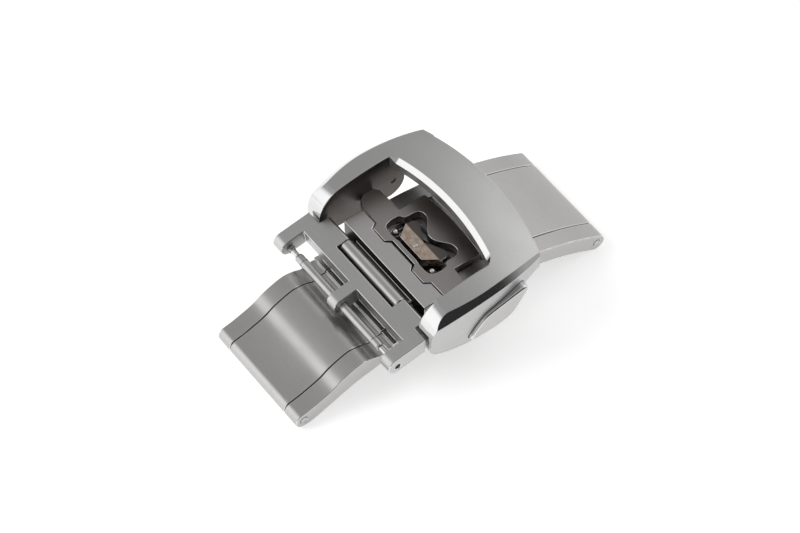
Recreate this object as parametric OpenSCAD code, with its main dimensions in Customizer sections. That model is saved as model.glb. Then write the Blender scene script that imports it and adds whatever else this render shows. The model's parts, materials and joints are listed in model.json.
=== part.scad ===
// Push-button butterfly clasp for a two-piece watch strap, drawn closed.
// X runs along the clasp, Y across the strap and Z up; the blade ends stand on Z = 0.

/* [Strap and blades] */
// Width of the strap, and so the gap between the lugs
strap_w = 20; // [18:0.5:22]
// Distance between the two end hinge pins
pin_span = 44.2; // [43:0.2:48]
// Radius of the arch, measured to the middle of the blade's thickness
arch_r = 43; // [41:0.5:48]
// Thickness of the blades
blade_t = 2.3; // [2.1:0.05:2.6]
// Width of the inner blade
inner_w = 11.2; // [10:0.1:12]
// Width of the side strip of a link
strip_w = 2.4; // [2:0.05:2.7]
// Gap between the inner blade and a side strip
side_gap = 0.08; // [0.05:0.01:0.15]
// Radius of the end hinge pins
pin_r = 0.5; // [0.4:0.05:0.6]
// Radial clearance of a pin that turns in a bore
run_gap = 0.05; // [0.02:0.01:0.09]
// Height of the hump in the left blade
hump_z = 5.5; // [5.1:0.05:5.7]
// Height of the valley under the strap frame
valley_z = 4.8; // [4.4:0.05:5]
// Thickness of the left blade in the valley
neck_t = 1.65; // [1.3:0.05:1.8]
// Thickness of the inner blade under the mechanism
deck_t = 0.95; // [0.8:0.05:1.2]

/* [Strap frame] */
// Distance from the clasp's middle to the frame's hinge
frame_hinge_x = 5.95; // [5.8:0.05:6.2]
// Distance from the frame's hinge to the spring bar
bar_reach = 5.18; // [5:0.02:5.4]
// Thickness of the frame
frame_t = 2.42; // [2.2:0.02:2.5]
// Slope of the frame, in degrees
frame_slope = 9; // [8:0.5:10]
// Thickness of a lug
lug_t = 1.8; // [1.5:0.1:2.2]
// Width of the frame's middle rib
rib_w = 1.6; // [1.2:0.1:2]
// Radius of the frame's hinge knuckle
knuckle_r = 0.9; // [0.8:0.02:0.92]
// Radius of the frame's hinge pin
frame_pin_r = 0.4; // [0.3:0.02:0.45]
// Length along Y of the hinge knuckle on the link
knuckle_len = 11; // [10:0.1:11.2]

/* [Spring bars] */
// Radius of a spring bar's tube
bar_r = 0.6; // [0.5:0.02:0.65]
// Radius of a spring bar's end pin
tip_r = 0.35; // [0.3:0.01:0.38]
// Depth that an end pin reaches into its lug
tip_reach = 1.1; // [0.8:0.05:1.3]
// Length of the bare neck between the tube and the collar
neck_len = 1.2; // [1.15:0.05:1.5]

/* [Mechanism] */
// Thickness of the mechanism plate
plate_t = 1.25; // [1:0.05:1.4]
// Thickness of a latch slider
slider_t = 0.3; // [0.25:0.01:0.35]
// Gap between sliding flat faces
slide_gap = 0.1; // [0.08:0.01:0.15]
// Half length of the mechanism plate's right end
plate_right = 6.3; // [6:0.05:6.4]
// Radius of the latch balls
ball_r = 0.5; // [0.4:0.02:0.52]
// Distance of a latch ball from the middle line
ball_y = 3.7; // [3.65:0.01:3.8]
// Travel of a button from the release point, each way
press = 0.4; // [0.2:0.05:0.45]

/* [Cover] */
// Height of the cover's crown
cover_top = 14.3; // [13.9:0.1:14.8]
// Thickness of the cover's bridge
cover_t = 1.8; // [1.4:0.1:2]
// Radius of the cover's crown across the strap
crown_r = 72.5; // [60:0.5:90]
// Thickness of a cover ear at its middle
ear_t = 3.35; // [3.2:0.05:3.9]
// Radius of an ear's outer face, seen from above
ear_r = 32; // [28:0.5:38]
// Height of the bottom of an ear
ear_low = 5.8; // [5.5:0.05:6.1]
// Distance that a button stands proud of its ear
button_proud = 0.5; // [0.3:0.05:0.7]
// Thickness of a button's body
button_t = 2; // [1.8:0.05:2.1]
// Gap round a button in its ear
button_gap = 0.1; // [0.06:0.01:0.15]

/* [Hidden] */
$fn = 64;

steel = "#b9b9b7";
dark_steel = "#8d8a85";
bright_steel = "#d6d6d6";

// Heights, worked up from the arch that passes through both end pins
pin_x = pin_span / 2;
barrel_r = blade_t / 2;
pin_z = barrel_r;
arch_z = pin_z - sqrt(arch_r * arch_r - pin_x * pin_x);
function arch_top(x) = arch_z + sqrt(pow(arch_r + barrel_r, 2) - x * x);
function arch_low(x) = arch_z + sqrt(pow(arch_r - barrel_r, 2) - x * x);
deck_z = arch_low(0) + deck_t;
low_layer = deck_z + 1.5 * slide_gap;
high_layer = low_layer + slider_t + slide_gap;
plate_low = high_layer + slider_t + slide_gap;
plate_top = plate_low + plate_t;
bridge_low = deck_z + 0.3;

// Widths
half_strap = strap_w / 2;
half_inner = inner_w / 2;
arm_in = half_inner + side_gap;
arm_out = arm_in + strip_w;
lug_out = half_strap + lug_t;
wall_out = half_strap + ear_t;

// The frame's hinge and the spring bar
hinge = [-frame_hinge_x, plate_top + 0.05 - knuckle_r];
bar_drop = 0.6;
bar_at = hinge + [-bar_reach * cos(frame_slope) + bar_drop * sin(frame_slope),
    -bar_reach * sin(frame_slope) - bar_drop * cos(frame_slope)];
frame_above = 0.87;
frame_below = frame_t - frame_above;

// The bridge of the left link and the seam between it and the mechanism plate
bridge_left = -4.35;
seam = -1.4;
seam_gap = 0.12;

// The rear spring bar, under the cover's bridge
cover_peak_x = 3.35;
fall = 0.0154;
rear_x = 8.3;
bar_room = 0.35;
bridge_r = crown_r - cover_t - fall * pow(rear_x - cover_peak_x, 2);
bridge_under = cover_top - crown_r + sqrt(bridge_r * bridge_r - half_strap * half_strap);
rear_at = [rear_x, bridge_under - bar_room - bar_r];
rear_lug_t = 1.4;
rear_lug_r = 1.25;

// Catmull-Rom curve through the given points
function spline_at(a, b, c, d, t) = 0.5 * (2 * b + (c - a) * t
    + (2 * a - 5 * b + 4 * c - d) * t * t + (3 * b - a - 3 * c + d) * t * t * t);
function open_curve(p, n) = let(m = len(p) - 1) concat(
    [for (i = [0 : m - 1]) for (k = [0 : n - 1])
        spline_at(p[max(i - 1, 0)], p[i], p[i + 1], p[min(i + 2, m)], k / n)],
    [p[m]]);
function closed_curve(p, n) = let(m = len(p))
    [for (i = [0 : m - 1]) for (k = [0 : n - 1])
        spline_at(p[(i + m - 1) % m], p[i], p[(i + 1) % m], p[(i + 2) % m], k / n)];
// A closed outline, drawn anticlockwise, moved outwards by d
function grown(p, d) = let(m = len(p))
    [for (i = [0 : m - 1])
        let(v = p[(i + 1) % m] - p[(i + m - 1) % m]) p[i] + d * [v[1], -v[0]] / norm(v)];
function arc(c, r, a, b, n) = [for (k = [0 : n]) c + r * [cos(a + (b - a) * k / n), sin(a + (b - a) * k / n)]];
function mirrored(p) = concat(p, [for (i = [len(p) - 1 : -1 : 0]) [p[i][0], -p[i][1]]]);
function turned(p, at, a) = [for (q = p) at + [q[0] * cos(a) - q[1] * sin(a), q[0] * sin(a) + q[1] * cos(a)]];

// Stretches a side view, drawn in X and Z, from y0 to y1
module side_slab(y0, y1) {
    translate([0, y1, 0]) rotate([90, 0, 0]) linear_extrude(y1 - y0) children();
}

// A round bar along Y from y0 to y1, with its axis at p in X and Z
module cross_bar(p, r, y0, y1) {
    translate([p[0], y1, p[1]]) rotate([90, 0, 0]) cylinder(r = r, h = y1 - y0);
}

// Draws its children on the near side and, mirrored, on the far side
module both_sides() {
    children();
    mirror([0, 1, 0]) children();
}

// The left blade: its top sags, humps up and dips into the valley under the strap frame
blade_run = bar_at[0] + pin_x;
pin_top = pin_z + barrel_r;
hump_rise = hump_z - pin_top;
left_x = [0, 0.156, 0.36, 0.51, 0.74, 0.89, 1];
left_rise = [0, 0.14, 0.4, 0.72, 1, 0.95];
left_top = open_curve(concat(
    [for (i = [0 : 5]) [left_x[i] * blade_run - pin_x, pin_top + left_rise[i] * hump_rise]],
    [[bar_at[0], valley_z + 0.08], [bar_at[0] + 1.1, valley_z]]), 5);
valley_low = valley_z - neck_t;
mid_low = arch_low(0);
left_low = open_curve([[-pin_x, pin_z - barrel_r], [-pin_x + 1.3, pin_z - barrel_r + 0.14],
    [-pin_x + 0.36 * blade_run, 0.35 * valley_low],
    [-pin_x + 0.69 * blade_run, 0.77 * valley_low], [bar_at[0], valley_low],
    [0.68 * bar_at[0], valley_low + 0.42 * (mid_low - valley_low)],
    [0.32 * bar_at[0], valley_low + 0.84 * (mid_low - valley_low)], [0, mid_low]], 5);

// Three ridges step the blade up towards the mechanism
ridge_run = 0.7;
ridge_x = bar_at[0] + 1.3;
ridge_top = hinge[1] - frame_below - 0.9;
ridges = [for (i = [0 : 2]) for (k = [0, 1])
    [ridge_x + i * ridge_run, valley_z + (i + k) * (ridge_top - valley_z) / 3]];
shelf = [[ridge_x + 3 * ridge_run, ridge_top + 0.2], [hinge[0] + 0.75, ridge_top + 0.5]];

// Points of the arch from x0 to x1
arch_steps = 24;
function arch_line(low, x0, x1) = [for (k = [0 : arch_steps])
    let(x = x0 + (x1 - x0) * k / arch_steps) [x, low ? arch_low(x) : arch_top(x)]];
// The blade's two faces meet the end barrel on a line through the arch's middle
end_high = pin_x * (arch_r + barrel_r) / arch_r;
end_low = pin_x * (arch_r - barrel_r) / arch_r;
function reversed(p) = [for (i = [len(p) - 1 : -1 : 0]) p[i]];

deck_left = -3.8;
deck_right = plate_right + 0.6;

module base_blade() {
    color(steel) difference() {
        union() {
            side_slab(-half_inner, half_inner) polygon(concat(left_top, ridges, shelf,
                [[deck_left, deck_z], [deck_right, deck_z]], arch_line(false, deck_right, end_high),
                arch_line(true, end_low, 0), reversed(left_low)));
            for (s = [-1, 1]) cross_bar([s * pin_x, pin_z], barrel_r, -half_inner, half_inner);
        }
        for (s = [-1, 1])
            cross_bar([s * pin_x, pin_z], pin_r + run_gap, -half_inner - 1, half_inner + 1);
        translate([catch_rivet_x, 0, 0]) cylinder(r = rivet_r, h = deck_z + 1);
    }
}

// The catch: a block on the inner blade with a bow-tie head that leans back as it rises
catch_rivet_x = 0.4;
rivet_r = 0.33;
nose_play = 0.15;
head_low = high_layer + slider_t + nose_play;
deep_low = low_layer + slider_t + nose_play;
head_top = plate_top;
head_lean = 0.35;
head_left = -0.35;
head_front = 1.9;
head_corner = [1.75, ball_y - 0.05];
lobe_at = [2.1, 2.65];
lobe_r = 0.85;
waist_x = 1.6;

module bow_tie(left, height) {
    linear_extrude(height) union() {
        polygon(mirrored([[left, 0], [left, head_front], head_corner, [waist_x + 0.5, 0.9], [waist_x, 0]]));
        for (s = [-1, 1]) translate([lobe_at[0], s * lobe_at[1]]) circle(lobe_r);
        for (s = [-1, 1]) polygon([[waist_x - 0.6, 0], [waist_x, 0], [2.72, s * 2.06], [1.6, s * 3.3]]);
    }
}

module catch() {
    color(dark_steel) difference() {
        union() {
            translate([-0.6, -1.8, deck_z]) cube([2.8, 3.6, head_low - deck_z]);
            translate([0, 0, head_low]) bow_tie(head_left - head_lean, head_top - head_low);
            // The far half reaches down to the lower slider's nose
            translate([0, 0, deep_low]) intersection() {
                bow_tie(head_left - head_lean + 0.1, head_low + 0.1 - deep_low);
                translate([-5, 0, 0]) cube([10, 10, 5]);
            }
        }
        // The front of the head leans back, so that the plate swings clear of it
        side_slab(-5, 5) polygon([[head_left - head_lean - 1, head_low - 0.01],
            [head_left - head_lean, head_low - 0.01], [head_left + 0.01, head_top + 0.01],
            [head_left - head_lean - 1, head_top + 0.01]]);
        // The lobes lie lower than the front bar
        translate([1.45, -5, head_top - 0.3]) cube([4, 10, 1]);
        translate([catch_rivet_x, 0, 0]) cylinder(r = rivet_r, h = head_top + 1);
    }
}

module catch_rivet() {
    color(bright_steel) translate([catch_rivet_x, 0, arch_low(catch_rivet_x) + 0.02])
        cylinder(r = rivet_r, h = head_top + 0.06 - arch_low(catch_rivet_x));
}

// The left link: two side strips, the bridge with its stepped seam, and the hinge knuckle
lobe_step = 0.8;
lobe_x = seam - lobe_step;
step_y = [2.2, 2.75, 5, 5.55];
step_gap = 0.1;
bridge_edge = [[seam - seam_gap, arm_out + 0.05], [seam - seam_gap, step_y[3] + step_gap],
    [lobe_x - seam_gap, step_y[2] + step_gap], [lobe_x - seam_gap, step_y[1] - step_gap],
    [seam - 0.3, step_y[0] - step_gap], [seam - 0.3, 0]];

module left_link() {
    color(steel) difference() {
        union() {
            both_sides() side_slab(arm_in, arm_out) polygon(concat(left_top, ridges, shelf,
                [[bridge_left, ridge_top + 0.5], [bridge_left, bridge_low + 0.1],
                [seam - seam_gap, bridge_low + 0.1], [seam - seam_gap, arch_low(seam) - 0.05]],
                [for (q = reversed(left_low)) if (q[0] < seam - 0.3) q]));
            both_sides() cross_bar([-pin_x, pin_z], barrel_r, arm_in, arm_out);
            translate([0, 0, bridge_low]) linear_extrude(plate_top - bridge_low)
                polygon(mirrored(concat([[bridge_left, 0], [bridge_left, arm_out + 0.05]], bridge_edge)));
            cross_bar(hinge, knuckle_r, -knuckle_len / 2, knuckle_len / 2);
            translate([hinge[0], -knuckle_len / 2, bridge_low])
                cube([bridge_left - hinge[0] + 0.1, knuckle_len, 0.6]);
        }
        both_sides() cross_bar([-pin_x, pin_z], pin_r + 0.01, arm_in - 1, arm_out + 1);
        cross_bar(hinge, frame_pin_r + run_gap, -knuckle_len, knuckle_len);
    }
}

module hinge_pin(x) {
    color(bright_steel) cross_bar([x, pin_z], pin_r, -arm_out, arm_out);
}

// The right link: two side strips joined by a web under the mechanism plate
wing_len = 3.3;
wing_right = seam + wing_len;
arm_left = wing_right + 0.2;
web_left = 4.5;

module right_link() {
    color(steel) difference() {
        union() {
            both_sides() side_slab(arm_in, arm_out) polygon(concat(
                arch_line(false, arm_left, end_high), arch_line(true, end_low, arm_left)));
            both_sides() cross_bar([pin_x, pin_z], barrel_r, arm_in, arm_out);
            translate([web_left, -arm_in - 0.1, low_layer])
                cube([plate_right - 0.2 - web_left, 2 * arm_in + 0.2, plate_low - low_layer]);
        }
        both_sides() cross_bar([pin_x, pin_z], pin_r + 0.01, arm_in - 1, arm_out + 1);
        rivet_places() translate([0, 0, low_layer - 1]) cylinder(r = rivet_r, h = plate_t + 2);
    }
}

// The two rivets under the mechanism plate
rivet_at = [5.3, 3.6];
rivet_deep = 0.7;

module rivet_places() {
    for (s = [-1, 1]) translate([rivet_at[0], s * rivet_at[1], 0]) children();
}

module plate_rivets() {
    color(bright_steel) rivet_places() translate([0, 0, low_layer + 0.02])
        cylinder(r = rivet_r, h = plate_low + rivet_deep - low_layer);
}

// The mechanism plate: lobes to the left, wings out to the ears and the bow-tie opening
wing_bend = 1.4;
plate_bow_r = 34;
plate_edge = concat([[seam, 0], [seam, step_y[0]], [lobe_x, step_y[1]], [lobe_x, step_y[2]],
    [seam, step_y[3]], [seam + 0.05, half_strap - wing_bend],
    [seam + 0.36 * wing_bend, half_strap - 0.36 * wing_bend], [seam + 0.86 * wing_bend, half_strap],
    [wing_right - 0.43 * wing_bend, half_strap], [wing_right, half_strap - 0.5 * wing_bend],
    [arm_left - 0.08, half_inner - 0.05]],
    [for (k = [0 : 6]) let(y = (half_inner - 0.05) * (1 - k / 6))
        [plate_right - y * y / (2 * plate_bow_r), y]]);
opening_points = [[-0.85, 0.6], [-0.85, 1.7], [-1, 2.7], [-0.85, 4.25], [-0.1, 4.75],
    [1.35, 4.75], [1.95, 4.15], [3.5, 4], [4.05, 3.35], [3.85, 2.3], [2.65, 0.7]];
opening = closed_curve(mirrored(opening_points), 4);

module mechanism_plate() {
    color(dark_steel) difference() {
        translate([0, 0, plate_low]) linear_extrude(plate_t) difference() {
            polygon(mirrored(plate_edge));
            polygon(opening);
        }
        rivet_places() translate([0, 0, plate_low - 1]) cylinder(r = rivet_r, h = rivet_deep + 1.05);
    }
}

// Latch sliders: each runs in from its button, round the catch's open side and back to a ball
stem = [0.95, 1.85];
outer_arm = [3.35, 4.2];
pad_r = ball_r + 0.1;
ball_lift = 0.2;
ball_seat_r = sqrt(ball_r * ball_r - ball_lift * ball_lift);
nose = [1.55, 2.5];
nose_y = ball_y + 0.03;
ball_x = 0.1;
ball_z = high_layer + slider_t + ball_lift;
cross_y = [4.6, 5.2];
return_y = [4.1, 4.65];
tab_out = wall_out + button_proud - button_t;
tab_t = 0.4;
tab_rise = 0.75;
stem_z = high_layer + slider_t;

module slider(z) {
    // The stem and the tab that the button pushes
    translate([stem[0], -tab_out, z]) cube([stem[1] - stem[0], tab_out - cross_y[0], slider_t]);
    translate([stem[0], -tab_out, z]) cube([stem[1] - stem[0], tab_t, stem_z + tab_rise - z]);
    // The hook round the catch
    translate([stem[0], -cross_y[1], z])
        cube([outer_arm[1] - stem[0], cross_y[1] - cross_y[0], slider_t]);
    translate([outer_arm[0], -cross_y[1], z])
        cube([outer_arm[1] - outer_arm[0], cross_y[1] + return_y[1], slider_t]);
    translate([ball_x, return_y[0], z])
        cube([outer_arm[1] - ball_x, return_y[1] - return_y[0], slider_t]);
    // The nose that slips under the catch's head when the button is out
    translate([nose[0], nose_y, z]) cube([nose[1] - nose[0], return_y[0] + 0.1 - nose_y, slider_t]);
    // The pad that holds the ball
    translate([ball_x, ball_y, z]) cylinder(r = pad_r, h = stem_z - z);
}

module drilled_slider(z) {
    color(bright_steel) difference() {
        slider(z);
        translate([ball_x, ball_y, z - 1]) cylinder(r = ball_seat_r, h = 3);
    }
}

module slider_ball() {
    color("white") translate([ball_x, ball_y, ball_z]) sphere(r = ball_r);
}

// The button's outline in X and Z, anticlockwise; its top follows the cover's chamfer
button_low = ear_low + 0.73;
button_points = [[-1.4, 0.15], [1.1, 0], [3.1, 0.25], [4.6, 0.85], [5.75, 2.3], [6.8, 4],
    [6.1, 4.45], [3.5, 3.85], [1, 3.3], [-0.3, 2.3], [-1.45, 0.85]];
button_line = closed_curve([for (q = button_points) q + [0, button_low]], 4);
face_y = wall_out + button_proud;
back_y = face_y - button_t;
rim = 0.3;
spring_at = [4.4, button_low + 1.97];
guide_r = 0.35;
spring_bore = 0.7;
pocket_deep = 0.8;
pocket_y = back_y + pocket_deep;
spring_seat = half_strap + 0.9;

module button() {
    color(steel) union() {
        difference() {
            union() {
                side_slab(-face_y + rim, -back_y) polygon(button_line);
                hull() {
                    side_slab(-face_y + rim, -face_y + rim + 0.01) polygon(button_line);
                    side_slab(-face_y, -face_y + 0.01) polygon(grown(button_line, -rim));
                }
            }
            cross_bar(spring_at, spring_bore, -pocket_y, -back_y + 1);
        }
        cross_bar(spring_at, guide_r, -pocket_y - 0.1, -half_strap - 0.1);
    }
}

module return_spring() {
    color(bright_steel) difference() {
        cross_bar(spring_at, spring_bore - 0.05, -pocket_y + 0.02, -spring_seat - 0.02);
        cross_bar(spring_at, guide_r + 0.15, -pocket_y - 1, -half_strap);
    }
}

// The cover: ears, tips and bridge under one crowned top
tip_x = hinge[0] - 0.7;
ear_mid_x = 0.6;
cover_right = 11.85;
window_right = 5.15;
window_r = 39.4;
right_r = 39;

ear_low_r = 2.35;
tip_end_r = 2.6;
tip_low_r = 1;
tip_drop = 1.8;
ear_end = plate_right - 0.2;
// Under the bridge the side view steps up from the ear's back to the bridge's edge
back_low = ear_low + 3.5;
edge_low = cover_top - 3.85;
edge_rise = edge_low - back_low;
cover_side = concat(arc([tip_x + tip_low_r, ear_low + 0.4 + tip_low_r], tip_low_r, 180, 270, 6),
    [[tip_x + 3, ear_low + 0.1], [tip_x + 4.5, ear_low]],
    arc([ear_end - ear_low_r, ear_low + ear_low_r], ear_low_r, -90, 0, 8),
    [[ear_end + 0.35, back_low], [ear_end + 1, back_low + 0.53 * edge_rise],
    [ear_end + 2, back_low + 0.77 * edge_rise], [cover_right - 2.4, back_low + 0.93 * edge_rise],
    [cover_right + 1, edge_low], [cover_right + 1, cover_top + 1], [tip_x + tip_end_r, cover_top + 1]],
    arc([tip_x + tip_end_r, cover_top - tip_drop - tip_end_r], tip_end_r, 90, 180, 8));

// Everything under the crowned top, lowered by d; the crown is turned about a line along X
module under_top(d) {
    translate([0, 0, cover_top - crown_r]) rotate([0, 90, 0]) rotate_extrude($fn = 180) polygon(
        concat([[crown_r - 12, tip_x - 1]], [for (k = [0 : 20])
            let(x = tip_x - 1 + (cover_right + 2 - tip_x) * k / 20)
            [crown_r - d - fall * pow(x - cover_peak_x, 2), x]],
            [[crown_r - 12, cover_right + 1]]));
}

module disc_at(x, y, r) {
    translate([x, y, 0]) cylinder(r = r, h = cover_top + 5, $fn = 120);
}

// An ear's outer face, as a drum standing on the clasp's other side
module ear_drum(s) {
    translate([ear_mid_x, s * (wall_out - ear_r), 0]) cylinder(r = ear_r, h = cover_top + 5, $fn = 120);
}

// The chamfer between the top and an ear's outer face slants by 45 degrees. What it leaves reaches
// chamfer_reach, counted as Y plus Z, at chamfer_x, and less towards the tip and the back
chamfer_x = 2;
chamfer_reach = wall_out + cover_top - 1.85;
chamfer_left = 0.036;
chamfer_right = 0.0237;
function chamfer_at(x) = chamfer_reach
    - (x < chamfer_x ? chamfer_left : chamfer_right) * pow(x - chamfer_x, 2);
module below_chamfer(s) {
    mirror([0, s < 0 ? 1 : 0, 0]) rotate([45, 0, 0]) linear_extrude(80, center = true) polygon(
        concat([[tip_x - 1, -40]], [for (k = [0 : 20])
            let(x = tip_x - 1 + (cover_right + 2 - tip_x) * k / 20)
            [x, chamfer_at(x) / sqrt(2)]],
            [[cover_right + 1, -40]]));
}

module cover_body() {
    intersection() {
        under_top(0);
        disc_at(cover_right - right_r, 0, right_r);
        ear_drum(-1);
        ear_drum(1);
        below_chamfer(-1);
        below_chamfer(1);
        side_slab(-wall_out - 1, wall_out + 1) polygon(cover_side);
    }
}

module cover_space() {
    // The window, open to the left
    intersection() {
        disc_at(window_right - window_r, 0, window_r);
        translate([-20, -half_strap, 0]) cube([40, strap_w, cover_top + 5]);
    }
    // The room under the bridge
    intersection() {
        under_top(cover_t);
        translate([0, -half_strap, 0]) cube([20, strap_w, cover_top]);
    }
}

module ear_cuts() {
    // The button's recess, the slider's slots and the spring's bore
    side_slab(-wall_out - 2, -back_y + press + 0.1) polygon(grown(button_line, button_gap));
    translate([stem[0] - slide_gap, -tab_out - press - 0.1, low_layer - slide_gap])
        cube([stem[1] - stem[0] + 2 * slide_gap, tab_out + press + 0.1, plate_low - low_layer + slide_gap]);
    translate([stem[0] - slide_gap, -tab_out - press - 0.1, low_layer - slide_gap])
        cube([stem[1] - stem[0] + 2 * slide_gap, tab_t + 2 * press + 0.2,
            stem_z + tab_rise + 2 * slide_gap - low_layer]);
    cross_bar(spring_at, spring_bore, -wall_out, -spring_seat);
    cross_bar(spring_at, guide_r + run_gap, -wall_out, -half_strap + 1);
}

module rear_lug() {
    cross_bar(rear_at, rear_lug_r, -half_strap - rear_lug_t, -half_strap);
    translate([rear_at[0] - rear_lug_r, -half_strap - rear_lug_t, rear_at[1]])
        cube([2 * rear_lug_r, rear_lug_t, cover_top - 3 - rear_at[1]]);
}

module cover() {
    color(steel) difference() {
        union() {
            difference() {
                cover_body();
                cover_space();
            }
            both_sides() rear_lug();
        }
        both_sides() ear_cuts();
        both_sides() cross_bar(rear_at, tip_hole_r, -half_strap - tip_reach - 0.2, -half_strap + 1);
    }
}

// The strap frame in its own side view: the hinge is at the origin and X runs to the right
lug_round = frame_t / 2;
lug_end_x = -bar_reach - 0.1;
notch_x = -1.2;
shoulder_x = tip_x - 0.15 - hinge[0];
shoulder_cut = 0.38;
arm_end_x = 0.5;
window_x = -2.95;
frame_mid = frame_above - lug_round;
arm_y0 = knuckle_len / 2 + 0.06;
arm_y1 = half_strap - 0.3;

module frame_view(x0, x1) {
    polygon(turned([[x0, -frame_below], [x1, -frame_below], [x1, frame_above], [x0, frame_above]],
        hinge, frame_slope));
}

module frame_lug(y0, y1) {
    side_slab(y0, y1) union() {
        frame_view(lug_end_x, window_x + 0.1);
        polygon(turned(arc([lug_end_x, frame_mid], lug_round, 90, 270, 16), hinge, frame_slope));
    }
}

module strap_frame() {
    color(steel) difference() {
        union() {
            both_sides() frame_lug(half_strap, lug_out);
            frame_lug(-rib_w / 2, rib_w / 2);
            side_slab(-lug_out, lug_out) frame_view(window_x, notch_x);
            // Beside the cover's tips the frame reaches a little further
            both_sides() side_slab(arm_y1 - 0.1, lug_out) polygon(turned([[notch_x - 0.1, -frame_below],
                [shoulder_x - shoulder_cut, -frame_below], [shoulder_x, frame_above],
                [notch_x - 0.1, frame_above]], hinge, frame_slope));
            both_sides() side_slab(arm_y0, arm_y1) polygon(turned([[notch_x - 0.1, -frame_below],
                [-0.5, -frame_below + 0.35], [0, -knuckle_r], [0.55, -0.7], [knuckle_r, 0.1],
                [arm_end_x + 0.2, frame_above - 0.25], [arm_end_x, frame_above],
                [notch_x - 0.1, frame_above]], hinge, frame_slope));
        }
        cross_bar(hinge, frame_pin_r + 0.01, -half_strap, half_strap);
        both_sides() cross_bar(bar_at, tip_hole_r, half_strap - 1, lug_out + 1);
        // The rib's eye, open underneath so that the bar snaps in
        cross_bar(bar_at, bar_r + run_gap, -rib_w, rib_w);
        side_slab(-rib_w, rib_w) polygon(turned([[-bar_reach - bar_r * 0.8, -bar_drop],
            [-bar_reach - bar_r * 0.8, -frame_t], [-bar_reach + bar_r * 0.8, -frame_t],
            [-bar_reach + bar_r * 0.8, -bar_drop]], hinge, frame_slope));
    }
}

module frame_hinge_pin() {
    color(bright_steel) cross_bar(hinge, frame_pin_r, -half_strap + 0.35, half_strap - 0.35);
}

// A spring bar: a tube with crimped ends, two collared tips and the spring between them
tip_hole_r = pin_hole(tip_r);

function pin_hole(r) = r + run_gap;
collar_t = 0.35;
collar_out = half_strap - 0.1;
collar_in = collar_out - collar_t;
tube_end = collar_in - neck_len;
tube_bore = bar_r - 0.17;
crimp_t = 0.35;
head_len = 0.6;
head_out = tube_end - crimp_t - 0.05;
head_in = head_out - head_len;

module spring_tube(at) {
    color(bright_steel) difference() {
        cross_bar(at, bar_r, -tube_end, tube_end);
        cross_bar(at, tube_bore, -tube_end + crimp_t, tube_end - crimp_t);
        cross_bar(at, tip_r + run_gap, -tube_end - 1, tube_end + 1);
        // The groove of each crimp
        both_sides() difference() {
            cross_bar(at, bar_r + 1, tube_end - 1.35, tube_end - 1.2);
            cross_bar(at, bar_r - 0.08, tube_end - 2, tube_end);
        }
    }
}

module spring_tip(at) {
    color(bright_steel) union() {
        cross_bar(at, tip_r, -half_strap - tip_reach, -head_in);
        cross_bar(at, bar_r - 0.06, -collar_out, -collar_in);
        cross_bar(at, tube_bore - 0.02, -head_out, -head_in);
    }
}

module inner_spring(at) {
    color(steel) difference() {
        cross_bar(at, tube_bore - 0.04, -head_in, head_in);
        cross_bar(at, tube_bore - 0.18, -head_in - 1, head_in + 1);
    }
}

base_blade();
catch();
catch_rivet();
left_link();
hinge_pin(-pin_x);  // left_hinge_pin
right_link();
hinge_pin(pin_x);  // right_hinge_pin
mechanism_plate();
plate_rivets();
cover();
button();  // near_button
mirror([0, 1, 0]) button();  // far_button
drilled_slider(low_layer);  // near_slider
mirror([0, 1, 0]) drilled_slider(high_layer);  // far_slider
slider_ball();  // near_slider_ball
mirror([0, 1, 0]) slider_ball();  // far_slider_ball
return_spring();  // near_return_spring
mirror([0, 1, 0]) return_spring();  // far_return_spring
strap_frame();
frame_hinge_pin();
spring_tube(bar_at);  // bar_tube
spring_tip(bar_at);  // near_bar_tip
mirror([0, 1, 0]) spring_tip(bar_at);  // far_bar_tip
inner_spring(bar_at);  // bar_spring
spring_tube(rear_at);  // rear_bar_tube
spring_tip(rear_at);  // near_rear_tip
mirror([0, 1, 0]) spring_tip(rear_at);  // far_rear_tip
inner_spring(rear_at);  // rear_bar_spring
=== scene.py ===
# %% [markdown]
# A push-button butterfly clasp for a watch strap, in satin and polished steel.
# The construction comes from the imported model: every piece there has its real size and place.
# This script gives each piece the edges and the finish that a finished clasp has, and then
# puts the clasp on a white table in soft studio light.

# %% Load the frame
import json
import math
import bmesh
import bpy
import numpy as np
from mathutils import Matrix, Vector

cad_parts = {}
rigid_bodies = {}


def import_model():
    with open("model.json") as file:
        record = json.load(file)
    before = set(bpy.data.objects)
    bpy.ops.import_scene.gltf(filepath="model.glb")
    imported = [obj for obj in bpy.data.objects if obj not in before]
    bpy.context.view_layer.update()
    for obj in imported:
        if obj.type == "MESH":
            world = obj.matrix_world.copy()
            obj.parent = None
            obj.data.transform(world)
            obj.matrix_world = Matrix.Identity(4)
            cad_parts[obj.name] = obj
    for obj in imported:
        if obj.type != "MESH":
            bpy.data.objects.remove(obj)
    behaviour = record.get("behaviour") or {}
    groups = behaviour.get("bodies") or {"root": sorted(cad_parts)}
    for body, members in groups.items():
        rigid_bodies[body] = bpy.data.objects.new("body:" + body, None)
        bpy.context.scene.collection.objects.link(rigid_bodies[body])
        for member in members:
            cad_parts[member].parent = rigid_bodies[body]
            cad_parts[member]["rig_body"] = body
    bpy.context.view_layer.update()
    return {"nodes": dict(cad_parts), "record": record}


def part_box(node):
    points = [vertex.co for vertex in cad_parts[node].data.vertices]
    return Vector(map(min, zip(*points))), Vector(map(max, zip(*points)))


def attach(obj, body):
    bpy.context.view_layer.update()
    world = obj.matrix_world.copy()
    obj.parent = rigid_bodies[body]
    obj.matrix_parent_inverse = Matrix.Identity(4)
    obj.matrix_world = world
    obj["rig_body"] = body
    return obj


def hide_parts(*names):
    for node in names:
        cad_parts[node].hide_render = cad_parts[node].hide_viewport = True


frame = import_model()
nodes = frame["nodes"]
MM = 0.001
scene_objects = bpy.context.scene.collection.objects

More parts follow.
